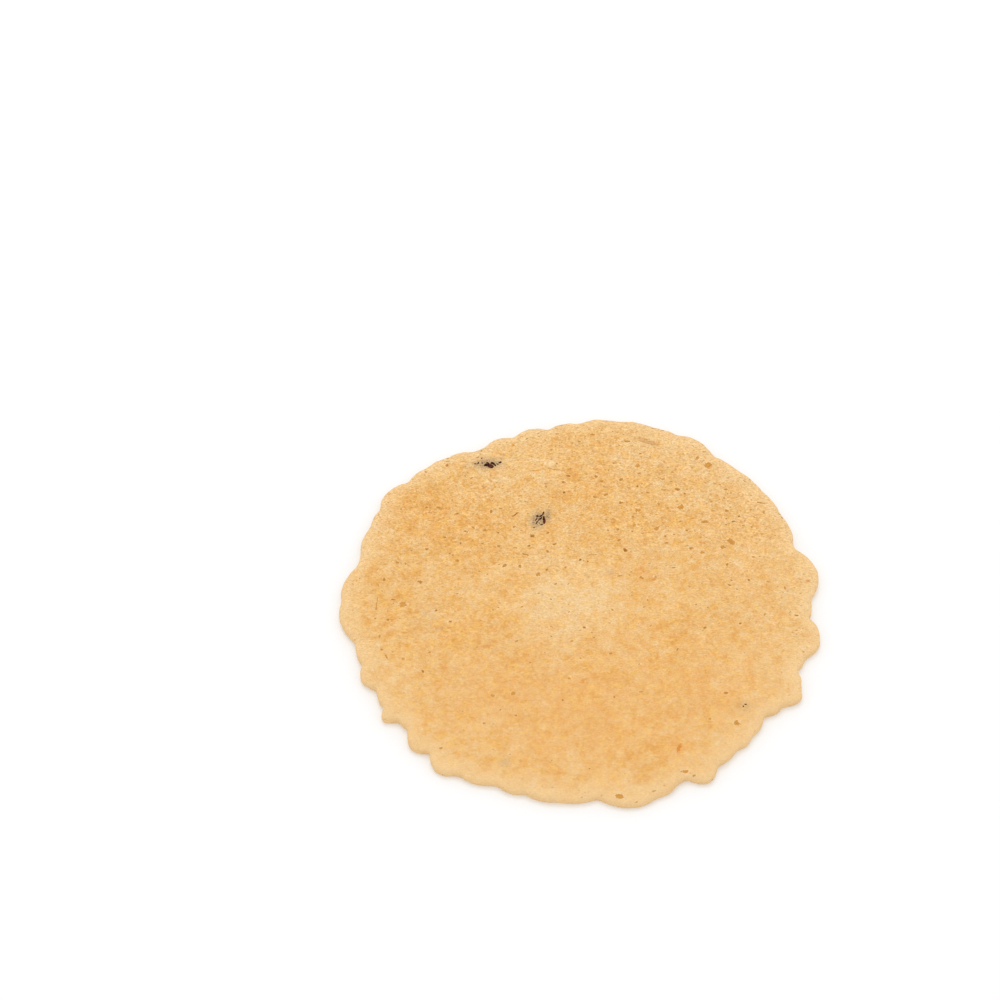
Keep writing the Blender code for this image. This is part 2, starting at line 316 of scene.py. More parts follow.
# Burst bubbles that stand out on the top, in millimetres: where, half-length, half-width, the
# way each points in degrees, depth, and how dark it is inside, from a clear golden glaze at 0
# to near black at 1.
BURST_BUBBLES = (
    (22.8, 30.2, 0.6, 0.62, 70, 0.2, 0.15), (21, 31.9, 0.44, 0.24, 60, 0.1, 0.05),
    (26.3, 13.4, 0.66, 0.54, -25, 0.25, 0.2), (25, 12.2, 0.56, 0.36, 12, 0.2, 0.25),
    (17.4, 24.9, 0.36, 0.32, -30, 0.2, 0.5), (18.6, 23.9, 0.22, 0.2, 0, 0.12, 0.4),
    (17.8, 20.9, 0.5, 0.46, 10, 0.16, 0.1), (22, 17.8, 0.54, 0.32, 0, 0.15, 0.2),
    (13.6, 16.2, 0.34, 0.54, -35, 0.15, 0.15), (8.1, 11.4, 0.34, 0.48, 35, 0.25, 0.85),
    (10.5, 30, 0.38, 0.34, 0, 0.18, 0.15), (-8.1, 14.6, 0.4, 0.34, -35, 0.25, 0.65),
    (-5.4, 11.2, 0.24, 0.28, 20, 0.15, 0.35), (-5.3, 15.2, 0.32, 0.18, 25, 0.15, 0.5),
    (-30.3, -0.3, 0.6, 0.52, 20, 0.18, 0.05), (-31.9, 0.8, 0.4, 0.14, -8, 0.15, 0.75),
    (6.3, -39.9, 0.75, 0.36, -18, 0.22, 0.1), (26.2, -25.2, 0.48, 0.44, -40, 0.2, 0.2),
    (17.3, -34.9, 0.5, 0.24, 5, 0.12, 0.15), (18.8, -35.7, 0.28, 0.18, 0, 0.08, 0.15),
    (6.8, 15.9, 0.28, 0.24, 20, 0.12, 0.2), (9.5, 18.8, 0.26, 0.22, 0, 0.15, 0.45),
    (7.4, 21.9, 0.32, 0.24, 0, 0.14, 0.55), (6.9, 13.6, 0.34, 0.16, 30, 0.12, 0.5),
    (9.7, 16.9, 0.36, 0.36, 0, 0.1, 0.1), (-11, 19.2, 0.62, 0.14, 42, 0.22, 1),
    (-13.6, 20.5, 0.38, 0.14, -20, 0.1, 0.3), (-15.2, 19.9, 0.18, 0.34, -15, 0.12, 0.5),
    (-11.3, 16.5, 0.26, 0.2, 0, 0.15, 0.5), (-14, 15.3, 0.32, 0.16, -25, 0.15, 0.6),
    (-18.3, 16.4, 0.34, 0.14, -38, 0.14, 0.5), (-19.6, 15.6, 0.34, 0.18, -30, 0.16, 0.6),
    (-13.8, 12.4, 0.36, 0.16, 5, 0.12, 0.6), (-10.9, 12, 0.36, 0.13, 0, 0.12, 0.6),
    (-9.2, 10.6, 0.66, 0.16, -18, 0.14, 0.5), (-8.6, 12.4, 0.26, 0.24, 0, 0.15, 0.7),
    (-20.5, 13, 0.18, 0.28, 0, 0.12, 0.5), (-23.2, 14.3, 0.3, 0.16, -10, 0.12, 0.5),
    (-22.3, 10.7, 0.2, 0.18, 0, 0.1, 0.2), (-21, 9.2, 0.34, 0.26, 20, 0.12, 0.25),
    (-12.9, 8.2, 0.42, 0.28, 35, 0.12, 0.35), (-5.6, 7.2, 0.3, 0.18, 25, 0.14, 0.5),
    (-7.1, 6.3, 0.34, 0.46, -10, 0.12, 0.25), (-10.2, 8, 0.22, 0.28, 0, 0.1, 0.4),
    (0.2, 9.3, 0.2, 0.2, 0, 0.18, 0.9), (1.5, 9, 0.2, 0.2, 0, 0.12, 0.9),
    (2.3, 10.4, 0.8, 0.1, 3, 0.08, 0.35), (0.8, -5.2, 0.3, 0.2, 0, 0.12, 0.6),
    (2.4, -7.4, 0.19, 0.15, 0, 0.08, 0.28), (-1.4, -8.1, 0.26, 0.15, 12, 0.08, 0.25),
    (5.2, -10.7, 0.29, 0.19, 15, 0.1, 0.28), (-3, -20.4, 0.17, 0.2, 0, 0.1, 0.44),
    (5.7, -19.8, 0.17, 0.29, 10, 0.08, 0.3), (-1.9, -15.9, 0.26, 0.22, 0, 0.07, 0.11),
    (10.2, -18.7, 0.29, 0.19, 0, 0.07, 0.19), (-24.3, 20.8, 0.36, 0.16, 0, 0.12, 0.3),
    (-26.5, 20.9, 0.26, 0.18, 0, 0.12, 0.5), (-26.3, 11.7, 0.3, 0.24, 0, 0.12, 0.5),
    (-33.6, 5, 0.18, 0.42, 0, 0.14, 0.35), (-24.6, -1.5, 0.28, 0.22, 0, 0.14, 0.8),
    (-22.1, -3.9, 0.28, 0.2, 0, 0.12, 0.55), (-26.7, -14.5, 0.2, 0.34, 20, 0.15, 0.65),
    (-25.6, -10.5, 0.24, 0.19, 0, 0.07, 0.19), (-8.5, -12.5, 0.19, 0.15, 0, 0.08, 0.28),
    (-14.9, -19.5, 0.37, 0.24, 0, 0.07, 0.14), (-13.6, -22.4, 0.26, 0.17, 0, 0.08, 0.25),
    (-11, -23.6, 0.29, 0.17, 25, 0.1, 0.3), (-16.3, -25.2, 0.24, 0.17, 0, 0.08, 0.22),
    (-11.4, -19, 0.34, 0.32, -30, 0.1, 0.15), (26.9, 17.8, 0.34, 0.13, 14, 0.16, 0.85),
    (28.9, 18, 0.36, 0.11, 0, 0.14, 0.65), (28.1, 18.9, 0.28, 0.22, 12, 0.16, 1),
    (25.8, 18.4, 0.18, 0.15, 0, 0.12, 0.6), (25.6, 17.1, 0.26, 0.13, 0, 0.12, 0.6),
    (25.8, 24.9, 0.3, 0.2, 0, 0.12, 0.45), (31.9, 22, 0.7, 0.13, -10, 0.12, 0.5),
    (29.2, 5, 0.24, 0.2, -10, 0.18, 0.85), (25.9, 3.9, 0.34, 0.16, 0, 0.12, 0.6),
    (32.5, 4.7, 0.28, 0.18, 0, 0.12, 0.35), (35.4, 3.2, 0.12, 0.4, 12, 0.08, 0.1),
    (37.2, -2.5, 0.38, 0.16, 0, 0.12, 0.55), (27.4, -4.3, 0.26, 0.2, 0, 0.12, 0.5),
    (24.6, -19, 0.38, 0.24, 10, 0.12, 0.4), (21.7, -24.4, 0.24, 0.19, 0, 0.07, 0.17),
    (-3.3, 30.5, 0.28, 0.24, 0, 0.2, 1), (-1.7, 27.8, 0.46, 0.16, -10, 0.15, 0.9),
    (-2.6, 26.4, 0.28, 0.2, 0, 0.15, 0.55), (-2.5, 24.1, 0.3, 0.22, 0, 0.16, 0.9),
    (0.4, 35.5, 0.28, 0.18, 0, 0.12, 0.55), (3.2, 27.7, 0.34, 0.26, 0, 0.15, 0.55),
    (-34.6, 3.9, 0.12, 0.4, 0, 0.06, 0.1), (-33.3, 8.4, 0.5, 0.1, 5, 0.05, 0.1),
    (-31.3, 8.8, 0.26, 0.18, -20, 0.08, 0.35), (-30, 8.6, 0.14, 0.3, 10, 0.08, 0.3),
    (-34.2, -7.1, 0.16, 0.34, 0, 0.06, 0.2), (-33.8, -9.9, 0.22, 0.22, 0, 0.06, 0.25),
    (-33, -11.4, 0.14, 0.6, 25, 0.06, 0.15), (-35, -3.2, 0.16, 0.16, 0, 0.08, 0.5),
    (8.7, 35.6, 0.52, 0.2, -10, 0.12, 0.4), (12.2, 24.1, 0.28, 0.18, 0, 0.12, 0.45),
    (25.8, 20.2, 0.34, 0.28, 0, 0.12, 0.4), (28.6, 16.9, 0.28, 0.11, 0, 0.1, 0.4),
    (10.7, 28.3, 0.24, 0.18, 0, 0.12, 0.4), (10.4, 25.5, 0.2, 0.2, 0, 0.12, 0.75),
    (10.4, 20.3, 0.38, 0.42, 0, 0.12, 0.12), (7.5, 26.9, 0.38, 0.24, 25, 0.14, 0.4),
    (4.1, 26.6, 0.3, 0.22, 0, 0.12, 0.45), (9.3, 15.6, 0.26, 0.14, 25, 0.12, 0.5),
    (15, 14.5, 0.26, 0.2, 0, 0.12, 0.45), (16.6, 14.9, 0.24, 0.18, 0, 0.12, 0.5),
    (18.8, 15.8, 0.26, 0.15, 0, 0.12, 0.6), (19.4, 11.9, 0.38, 0.26, 20, 0.14, 0.3),
    (15.8, 29.6, 0.24, 0.14, 0, 0.1, 0.35), (16.5, 28.7, 0.24, 0.14, 0, 0.1, 0.4),
    (-30.1, -11.9, 0.28, 0.32, 0, 0.08, 0.1), (11.7, 0.7, 0.1, 0.34, 0, 0.08, 0.3),
    (16.3, 7.6, 0.28, 0.2, 0, 0.1, 0.3), (10.7, 5.4, 0.36, 0.2, -25, 0.1, 0.45),
)

# Caramel-coloured spots, in the same form, where sugar has browned.
CARAMEL_SPOTS = (
    (16.4, -30.3, 0.32, 0.95, -14, 0.06, 1), (12.8, 5, 0.52, 0.3, 40, 0.04, 0.8),
    (10.5, 7.3, 0.9, 0.4, 0, 0.02, 0.35), (39.4, 5, 0.42, 0.26, 0, 0.05, 0.7),
    (-30, -6.3, 0.42, 0.24, 0, 0.05, 0.7), (21.4, 13.1, 0.5, 0.26, 0, 0.04, 0.6),
    (0.4, -16.4, 0.7, 0.34, 30, 0.03, 0.5), (-16, -9.2, 0.8, 0.34, 10, 0.03, 0.5),
)

# Shallow cracks: half-width, depth and darkness, then the two ends of each.
CRACKS = (
    (0.12, 0.06, 0.10, ((-8.8, 28.8), (-6.3, 29.1))),
    (0.12, 0.06, 0.15, ((-5.2, 29.5), (-2.6, 29.0))),
    (0.09, 0.06, 0.15, ((-34.7, 1.2), (-34.9, -1.6))),
)

# Middling bubbles strewn at random over the top: how many are tried, how often one is kept where
# the crumb is airiest, smallest and largest half-length in millimetres, and how strongly small
# ones prevail.
STREWN_SEED = 11
STREWN_TRIES = 700
STREWN_SHARE = 0.5
STREWN_HALF_LENGTH = (0.18, 0.42)
STREWN_SMALLNESS = 2.5

# Their width as a share of length, the spread of their turn in degrees, their depth as a share
# of half-width, and their darkness.
STREWN_WIDTH = (0.35, 0.85)
STREWN_TURN = 30.0
STREWN_DEPTH = 0.6
STREWN_DARK = (0.05, 0.5)

# How airy the crumb is at the near edge, what each ramp towards the far edge adds, and where
# each ramp starts and how long it is in millimetres. Bubbles thin out with a power of it.
NEAR_AIRINESS = 0.3
AIRY_RISE = 0.35
AIRY_RAMPS = ((-26.0, 24.0), (2.0, 18.0))
AIRY_POWER = 4

# Every mark: the bare ring kept round it in millimetres, height, place and width of its lip as
# shares of its depth and size, how uneven its outline is, and its layer of noise.
MARK_ZONE = 0.45
LIP_HEIGHT = 0.18
LIP_PLACE = 1.3
LIP_WIDTH = 0.3
MARK_WAVINESS = 0.25
MARK_WAVE_SIZE = 0.5 * MM
MARK_LAYER = 20


def crack_marks():
    """Each crack as a narrow mark in the form of a burst bubble."""
    marks = []
    for half_width, depth, dark, ((x0, y0), (x1, y1)) in CRACKS:
        half_length = math.hypot(x1 - x0, y1 - y0) / 2
        turn = math.degrees(math.atan2(y1 - y0, x1 - x0))
        middle = ((x0 + x1) / 2, (y0 + y1) / 2)
        marks.append((*middle, half_length, half_width, turn, depth, dark))
    return marks


def airiness(y):
    """How rough and airy the crumb is, from 0 to 1, at places given in millimetres.

    The near side pressed smooth, so the value rises from there to the far side in two ramps.
    """
    ramps = (np.clip((y - start) / length, 0.0, 1.0) for start, length in AIRY_RAMPS)
    return NEAR_AIRINESS + AIRY_RISE * sum(ramps)


def strewn_marks(placed):
    """Random middling bubbles over the body, as rows like the placed ones.

    Places are even over the disc, then thinned by the power of airiness and kept clear of all
    other marks. Small bubbles are the commonest, and most lie lengthwise across.
    """
    draw = np.random.default_rng(STREWN_SEED)
    small, large = STREWN_HALF_LENGTH
    marks = list(placed)
    for _ in range(STREWN_TRIES):
        radius = math.sqrt(draw.uniform()) * BODY_RADIUS / MM
        bearing = draw.uniform(0.0, math.tau)
        x, y = radius * math.cos(bearing), radius * math.sin(bearing)
        half_length = small + (large - small) * draw.uniform() ** STREWN_SMALLNESS
        half_width = half_length * draw.uniform(*STREWN_WIDTH)
        turn = draw.normal(0.0, STREWN_TURN)
        dark = draw.uniform(*STREWN_DARK)
        chance = draw.uniform()
        clear = all(
            math.hypot(x - mark[0], y - mark[1]) > mark[2] + half_length + 2 * MARK_ZONE
            for mark in marks
        )
        if clear and chance < STREWN_SHARE * airiness(y) ** AIRY_POWER:
            depth = half_width * STREWN_DEPTH
            marks.append((x, y, half_length, half_width, turn, depth, dark))
    return marks[len(placed):]


def in_oval(x, y, cx, cy, half_length, half_width, turn):
    """Places along and across an oval, in shares of its half-length and its half-width."""
    cos, sin = math.cos(math.radians(turn)), math.sin(math.radians(turn))
    along = ((x - cx) * cos + (y - cy) * sin) / half_length
    across = ((y - cy) * cos - (x - cx) * sin) / half_width
    return along, across


def press_marks(points, marks):
    """Dents of all marks over an array of points, and each point's place in its mark.

    Inside a mark's ellipse the dent deepens as the square of one less the square of the
    distance, and a low lip stands round it. Noise makes the ellipse uneven. A point's place is
    given along and across the nearest mark in shares of its size, then its darkness. The last
    array is 1 where the zone of one mark alone covers the point, and 0 elsewhere.
    """
    dent = np.zeros(len(points))
    place = np.zeros((len(points), 3))
    nearest = np.full(len(points), np.inf)
    zones = np.zeros(len(points))
    wave = 1.0 + MARK_WAVINESS * smooth_noise(points, MARK_WAVE_SIZE, MARK_LAYER)
    x, y = points[:, 0] / MM, points[:, 1] / MM
    for cx, cy, half_length, half_width, turn, depth, dark in marks:
        window = max(half_length, half_width) + MARK_ZONE
        near = np.flatnonzero((np.abs(x - cx) < window) & (np.abs(y - cy) < window))
        along, across = in_oval(x[near], y[near], cx, cy, half_length, half_width, turn)
        out = np.hypot(along, across)
        bowl = np.clip(1.0 - (out * wave[near]) ** 2, 0.0, 1.0) ** 2
        lip = LIP_HEIGHT * np.exp(-(((out * wave[near] - LIP_PLACE) / LIP_WIDTH) ** 2))
        dent[near] += depth * MM * (bowl - lip)
        nearer = out < nearest[near]
        nearest[near] = np.minimum(out, nearest[near])
        ours = np.column_stack([along, across, np.full(len(near), dark)])
        place[near] = np.where(nearer[:, None], ours, place[near])
        zones[near] += 1.0
    return dent, place, (zones == 1.0).astype(float)


# Hollows under the dark seeds, in the same form as the bubbles.
SEED_HOLLOWS = (
    (-15.4, 30.4, 1.45, 0.95, 8, 0.1, 0), (-6.5, 18.3, 0.95, 1.65, -12, 0.1, 0),
    (27.7, -21.5, 0.5, 0.6, -35, 0.06, 0),
)

# How toasted the top is: where, radius in millimetres and amount of each soft patch, paler
# below zero and browner above.
TOAST_PATCHES = (
    (-1.5, -0.5, 6.5, -1), (3.5, 3, 6, -0.45), (-6, 2, 4, -0.35), (-30, 20, 7.5, 0.42),
    (-19, 18, 7, 0.32), (-33, 6, 6, 0.35), (-18, -7.2, 4.2, 0.85), (-11, -12.5, 3, 0.45),
    (-11.5, -19, 3, 0.45), (-28, -8, 8, 0.25), (0, -22, 20, 0.3), (-26, -22, 6, 0.28),
    (9, -29, 7, 0.3), (15.5, -30.5, 3, 0.35), (-8, -30, 6, 0.22), (22, -25, 6, 0.28),
    (20, -9, 9, 0.26), (10.5, 6, 3.6, 0.32), (0, 23.8, 4.8, 0.6), (10, 24, 6, 0.2),
    (25.5, 14.5, 4, 0.2), (31.5, 18, 5, 0.16), (5.5, 36, 4, 0.2), (-2, 35, 4, 0.12),
    (4, 14.5, 4, 0.5), (32, 3, 5, 0.15), (-38.5, 8, 3, 0.3), (-8, 40.5, 4.5, -0.75),
    (-18, 36, 5, -0.55), (17, 37, 6, -0.4), (26.5, 31.5, 4.5, -0.65), (38.5, 9, 5.5, -0.45),
    (38.5, -2, 4.5, -0.3), (36.5, -16.5, 5.5, -0.45), (21.5, -34, 5.5, -0.35),
    (8, -40.5, 6, -0.45), (-6.5, -40.5, 5, -0.45), (-24, -34, 5.5, -0.35), (-34, -23, 4.5, -0.45),
    (-38, 14, 4, -0.4), (-27, 31.5, 4.5, -0.25), (20, 23, 3, -0.25), (12, 32.7, 5, -0.4),
    (-5, 31.5, 6, -0.15), (-40.5, -2, 3.5, -0.25), (30, -30, 5, -0.3), (-37, -14, 4, -0.25),
    (-21, 7, 5, -0.1), (-15.5, 16, 4, 0.35), (-20, 10.5, 4, 0.45), (17.5, 16.5, 3.5, 0.35),
    (-32, -1.5, 3, 0.45), (-25.5, -5, 3.5, -0.45), (-15, 28, 6, -0.3), (19, 1.3, 4, -0.3),
    (8.5, -5.5, 4, -0.3), (-1.7, -5, 4, -0.3), (31.5, -12, 4, -0.3), (-19, -28, 4, 0.3),
    (-21, 25.3, 2.5, 0.35),
)

# Where the top is a warmer orange, mostly on the near side, in the same form.
WARM_PATCHES = (
    (0, -24, 17, 0.9), (24, -16, 11, 0.6), (-20, -18, 9, 0.6), (10, 6, 4, 0.7), (31, 5, 7, 0.4),
    (-31, 19, 6, 0.5), (2, 25, 5, 0.3), (25, 16, 5, 0.3), (16.5, -30, 3, 0.4),
)

# Soft folds near the far edge: where, half-length, half-width, the way each points and amount,
# a painted highlight on a raised crest below zero and painted browner shade in a valley above,
# both laid into the toast, and the height for an amount of 1.
FOLDS = (
    (12.3, 35.6, 2.3, 0.46, -22, 2.9), (7.3, 34.8, 1.9, 0.3, 12, -1.3),
    (10.5, 35.1, 1.8, 0.3, -3, -1.3), (13.8, 34.2, 1.6, 0.3, -25, -1.3),
)
FOLD_HEIGHT = 0.03 * MM

# Greyish stains: where, half-length, half-width, the way each points and strength. The first
# four are haloes round the dark seeds, and the last is painted shade in the fold's valley.
STAINS_AND_FOLD_SHADE = (
    (-15.8, 30.6, 2.9, 1.4, 4, 0.95), (-7.1, 18, 1.6, 2.2, -12, 0.95),
    (-5.3, 19, 0.65, 1.6, 0, 0.9), (27.6, -21.7, 2, 1.4, 20, 0.35),
    (-12.8, -33.3, 1, 0.8, 0, 0.45), (-23.9, -5.4, 1.3, 0.4, 25, 0.4),
    (5.5, 6.6, 0.8, 0.6, 0, 0.45), (-8.3, 40.2, 3.8, 2, 0, 0.25), (27, 27, 1.5, 0.9, -30, 0.2),
    (-26.5, -3.5, 3.5, 2, 60, 0.15), (12.3, 35.6, 2.2, 0.42, -22, 0.6),
)


def soft_patches(points, patches):
    """Sum of round soft patches, each its amount times a bell curve of the distance."""
    total = np.zeros(len(points))
    for x, y, radius, amount in patches:
        away = np.hypot(points[:, 0] / MM - x, points[:, 1] / MM - y)
        total += amount * np.exp(-((away / radius) ** 2))
    return total


def soft_ovals(points, ovals):
    """One row for each oval: its amount times a flat middle that falls off with distance cubed."""
    x, y = points[:, 0] / MM, points[:, 1] / MM
    rows = []
    for *oval, amount in ovals:
        along, across = in_oval(x, y, *oval)
        rows.append(amount * np.exp(-(np.hypot(along, across) ** 3)))
    return np.array(rows)


def store(mesh, name, values):
    """Gives the mesh one value, or one vector, at each corner."""
    kind, field = ("FLOAT", "value") if values.ndim == 1 else ("FLOAT_VECTOR", "vector")
    layer = mesh.attributes.new(name, kind, "POINT")
    layer.data.foreach_set(field, values.astype(np.float32).ravel())


def add_object(name, data):
    """A new object in the scene for a mesh, a light or a camera."""
    obj = bpy.data.objects.new(name, data)
    bpy.context.scene.collection.objects.link(obj)
    return obj


def add_surface(name, points, faces):
    """A new object, unturned at the origin, with a smooth-shaded mesh of points and faces."""
    mesh = bpy.data.meshes.new(name)
    mesh.from_pydata(points, [], faces)
    mesh.shade_smooth()
    return add_object(name, mesh)


def make_dough():
    """The dough's object: its net, pushed out by relief and pressed in by every mark.

    Its mesh carries what the colours need: each point's place in its mark, how toasted, warm,
    stained and airy it is, with the folds' painted shade and highlight in the toast and the
    stain, how far in from the edge, and how far below the top.
    """
    net = dough_net()
    points, facing, upper = net["points"], net["facing"], net["upper"]
    relief = layered_noise(points, FACE_RELIEF, FACE_LAYER)
    rim_share = np.exp(-((net["inset"] / RIM_RELIEF_REACH) ** 2))
    relief += rim_share * layered_noise(points, RIM_RELIEF, RIM_LAYER)
    folds = soft_ovals(points, FOLDS).sum(axis=0)
    relief = np.where(upper, relief - FOLD_HEIGHT * folds, relief * UNDERSIDE_RELIEF)
    placed = list(BURST_BUBBLES) + crack_marks()
    strewn = strewn_marks(placed + list(SEED_HOLLOWS) + list(CARAMEL_SPOTS))
    dent, bubble_place, bubble_near = press_marks(points, placed + strewn)
    hollow, _, _ = press_marks(points, SEED_HOLLOWS)
    dimple, caramel_place, caramel_near = press_marks(points, CARAMEL_SPOTS)
    moved = points + facing * (relief - upper * (dent + hollow + dimple))[:, None]
    moved[:, 2] = np.maximum(moved[:, 2], 0.0)
    obj = add_surface("baked_cookie", moved.tolist(), dough_faces())
    mesh = obj.data
    store(mesh, "bubble_place", bubble_place)
    store(mesh, "bubble_near", bubble_near * upper)
    store(mesh, "caramel_place", caramel_place)
    store(mesh, "caramel_near", caramel_near * upper)
    # The folds add painted shade in their valley and a painted highlight on their crest to the
    # toast.
    store(mesh, "toast_and_fold_shade", (soft_patches(points, TOAST_PATCHES) + folds) * upper)
    store(mesh, "warmth", soft_patches(points, WARM_PATCHES) * upper)
    # The stains carry the painted shade of the fold's valley as well.
    store(mesh, "stain_and_fold_shade", soft_ovals(points, STAINS_AND_FOLD_SHADE).max(axis=0) * upper)
    store(mesh, "airy", airiness(points[:, 1] / MM))
    store(mesh, "inset", net["inset"] / MM)
    store(mesh, "drop", 1.0 - net["height"] / THICKNESS)
    return obj


# Colours of the dough as sRGB levels from 0 to 255, as they look under the studio's light, and
# how bright that light shows a white surface.
PALE_DOUGH = (244, 206, 151)
GOLDEN_DOUGH = (240, 194, 130)
TOASTED_DOUGH = (236, 180, 106)
BROWN_DOUGH = (226, 162, 82)
WARM_DOUGH = (240, 181, 114)
BUTTER_DOUGH = (243, 194, 110)
# The pale rim: the edge's paler batter, lifted further as painted light against the shade of the
# rounded rim.
PALE_AND_LIT_RIM = (248, 210, 155)
GLAZE_GOLD = (224, 160, 70)
PIT_BROWN = (146, 82, 24)
CRUST_BROWN = (205, 135, 42)
FLECK_GOLD = (216, 150, 72)
# The pale lip colour: a painted highlight on the raised lip round each pit; the creamy flecks use
# it too.
LIP_HIGHLIGHT_AND_CREAM = (253, 226, 176)
CARAMEL = (222, 138, 56)
# Grey of the stains, and of the painted shade in the fold's valley.
STAIN_AND_SHADE_GREY = (197, 167, 126)
PEPPER = (112, 86, 62)
STUDIO_LEVEL = 1.17
BYTE = 255.0

# The sRGB curve: where its straight foot ends, how steep that foot is, and the offset and the
# power above it.
SRGB_FOOT_END = 0.04045
SRGB_FOOT_SLOPE = 12.92
SRGB_OFFSET = 0.055
SRGB_POWER = 2.4

# Numbers of the Mix node's sockets for colour, and the value that a Noise node varies about.
MIX_SHARE = 0
MIX_FIRST = 6
MIX_SECOND = 7
MIX_RESULT = 2
NOISE_MIDDLE = 0.5

# Specular level of a dry, dull crust.
DRY_SHINE = 0.1


def dough_colour(levels):
    """Base Color that shows the given sRGB levels under the studio's light.

    The sRGB curve is undone, and the light's own brightness is divided out.
    """
    share = np.array(levels) / BYTE
    curve = ((share + SRGB_OFFSET) / (1.0 + SRGB_OFFSET)) ** SRGB_POWER
    linear = np.where(share <= SRGB_FOOT_END, share / SRGB_FOOT_SLOPE, curve)
    return (*(linear / STUDIO_LEVEL), 1.0)


def add_node(tree, kind, inputs=None, **settings):
    """A shader node with its settings, and each input given a value or a link."""
    made = tree.nodes.new(kind)
    for name, value in settings.items():
        setattr(made, name, value)
    for name, value in (inputs or {}).items():
        if isinstance(value, bpy.types.NodeSocket):
            tree.links.new(value, made.inputs[name])
        else:
            made.inputs[name].default_value = value
    return made


def calculate(tree, operation, first, second=0.0, third=0.0):
    """Output of a Math node."""
    inputs = {0: first, 1: second, 2: third}
    return add_node(tree, "ShaderNodeMath", inputs, operation=operation).outputs[0]


def product_of(tree, *factors):
    """Several values multiplied together."""
    total = factors[0]
    for factor in factors[1:]:
        total = calculate(tree, "MULTIPLY", total, factor)
    return total


def vector(tree, operation, first, second=(0.0, 0.0, 0.0)):
    """Outputs of a Vector Math node."""
    inputs = {0: first, 1: second}
    return add_node(tree, "ShaderNodeVectorMath", inputs, operation=operation).outputs


def attribute(tree, name, output="Fac"):
    """A value that the mesh carries at its corners."""
    return add_node(
        tree, "ShaderNodeAttribute", attribute_type="GEOMETRY", attribute_name=name
    ).outputs[output]


def step_between(tree, value, low, high, most=1.0):
    """0 on low's side, most on high's side, and a smooth step between."""
    inputs = {"Value": value, "From Min": low, "From Max": high, "To Max": most}
    return add_node(
        tree, "ShaderNodeMapRange", inputs, interpolation_type="SMOOTHSTEP"
    ).outputs["Result"]


def scaled_noise(tree, place, scale, detail):
    """Noise centred on 0, with the given number of waves in a millimetre."""
    inputs = {"Vector": place, "Scale": scale, "Detail": detail}
    made = add_node(tree, "ShaderNodeTexNoise", inputs)
    return calculate(tree, "SUBTRACT", made.outputs[0], NOISE_MIDDLE)


def noise(tree, place, size, detail=0.0):
    """Noise of the given size in millimetres, centred on 0."""
    return scaled_noise(tree, place, 1.0 / size, detail)


def layered(tree, place, layers, start):
    """A start value plus plain noise in layers, each a size in millimetres and an amount."""
    total = start
    for size, amount in layers:
        total = calculate(tree, "MULTIPLY_ADD", noise(tree, place, size), amount, total)
    return total


def new_group(name, inputs, outputs):
    """An empty node group that takes a place and numbers, with what it is given and its end."""
    tree = bpy.data.node_groups.new(name, "ShaderNodeTree")
    tree.interface.new_socket("Place", in_out="INPUT", socket_type="NodeSocketVector")
    for socket in inputs:
        tree.interface.new_socket(socket, in_out="INPUT", socket_type="NodeSocketFloat")
    for socket in outputs:
        tree.interface.new_socket(socket, in_out="OUTPUT", socket_type="NodeSocketFloat")
    return tree, tree.nodes.new("NodeGroupInput").outputs, tree.nodes.new("NodeGroupOutput").inputs


def flecks_group():
    """Node group for flecks of a colour: noise with a smooth step from Low up to Most at High."""
    inputs = ("Scale", "Detail", "Low", "High", "Most")
    tree, given, end = new_group("flecks", inputs, ("Share",))
    mottle = scaled_noise(tree, given["Place"], given["Scale"], given["Detail"])
    share = step_between(tree, mottle, given["Low"], given["High"], given["Most"])
    tree.links.new(share, end["Share"])
    return tree


FLECKS = flecks_group()


def flecks(tree, place, size, detail, low, high, most):
    """Share of a colour that lies in flecks of the given size in millimetres."""
    made = add_node(tree, "ShaderNodeGroup", {
        "Place": place, "Scale": 1.0 / size, "Detail": detail,
        "Low": low, "High": high, "Most": most,
    }, node_tree=FLECKS)
    return made.outputs["Share"]


def painted(tree, colour, share, levels):
    """The colour turning into the given levels as the share goes from 0 to 1."""
    inputs = {MIX_SHARE: share, MIX_FIRST: colour, MIX_SECOND: dough_colour(levels)}
    return add_node(tree, "ShaderNodeMix", inputs, data_type="RGBA").outputs[MIX_RESULT]


def principled(name):
    """A new material, its node tree and its shader."""
    material = bpy.data.materials.new(name)
    material.use_nodes = True
    tree = material.node_tree
    return material, tree, tree.nodes["Principled BSDF"]


def own_millimetres(tree):
    """Each place on a piece, in millimetres of the piece's own space."""
    place = tree.nodes.new("ShaderNodeTexCoord").outputs["Object"]
    return vector(tree, "MULTIPLY", place, (1.0 / MM, 1.0 / MM, 1.0 / MM))[0]


def finish_dry(tree, shader, colour, height, roughness):
    """Gives a dry, dull surface its colour and its fine relief, the height in millimetres."""
    bump = add_node(tree, "ShaderNodeBump", {"Height": height, "Distance": MM, "Strength": 1.0})
    tree.links.new(colour, shader.inputs["Base Color"])
    tree.links.new(bump.outputs["Normal"], shader.inputs["Normal"])
    shader.inputs["Roughness"].default_value = roughness
    shader.inputs["Specular IOR Level"].default_value = DRY_SHINE


# Toast: size in millimetres and amount of each layer of its mottle, then the colours that set
# in as it rises, each with where it starts, where it is full and its share there.
MOTTLE = ((6.0, 0.9), (2.8, 1.45), (1.4, 1.55), (0.7, 1.4), (0.35, 1.1))
TOAST_COLOURS = (
    (GOLDEN_DOUGH, -1.0, 0.05, 1.0),
    (TOASTED_DOUGH, -0.05, 0.75, 1.0),
    (BROWN_DOUGH, 0.55, 1.5, 0.8),
)

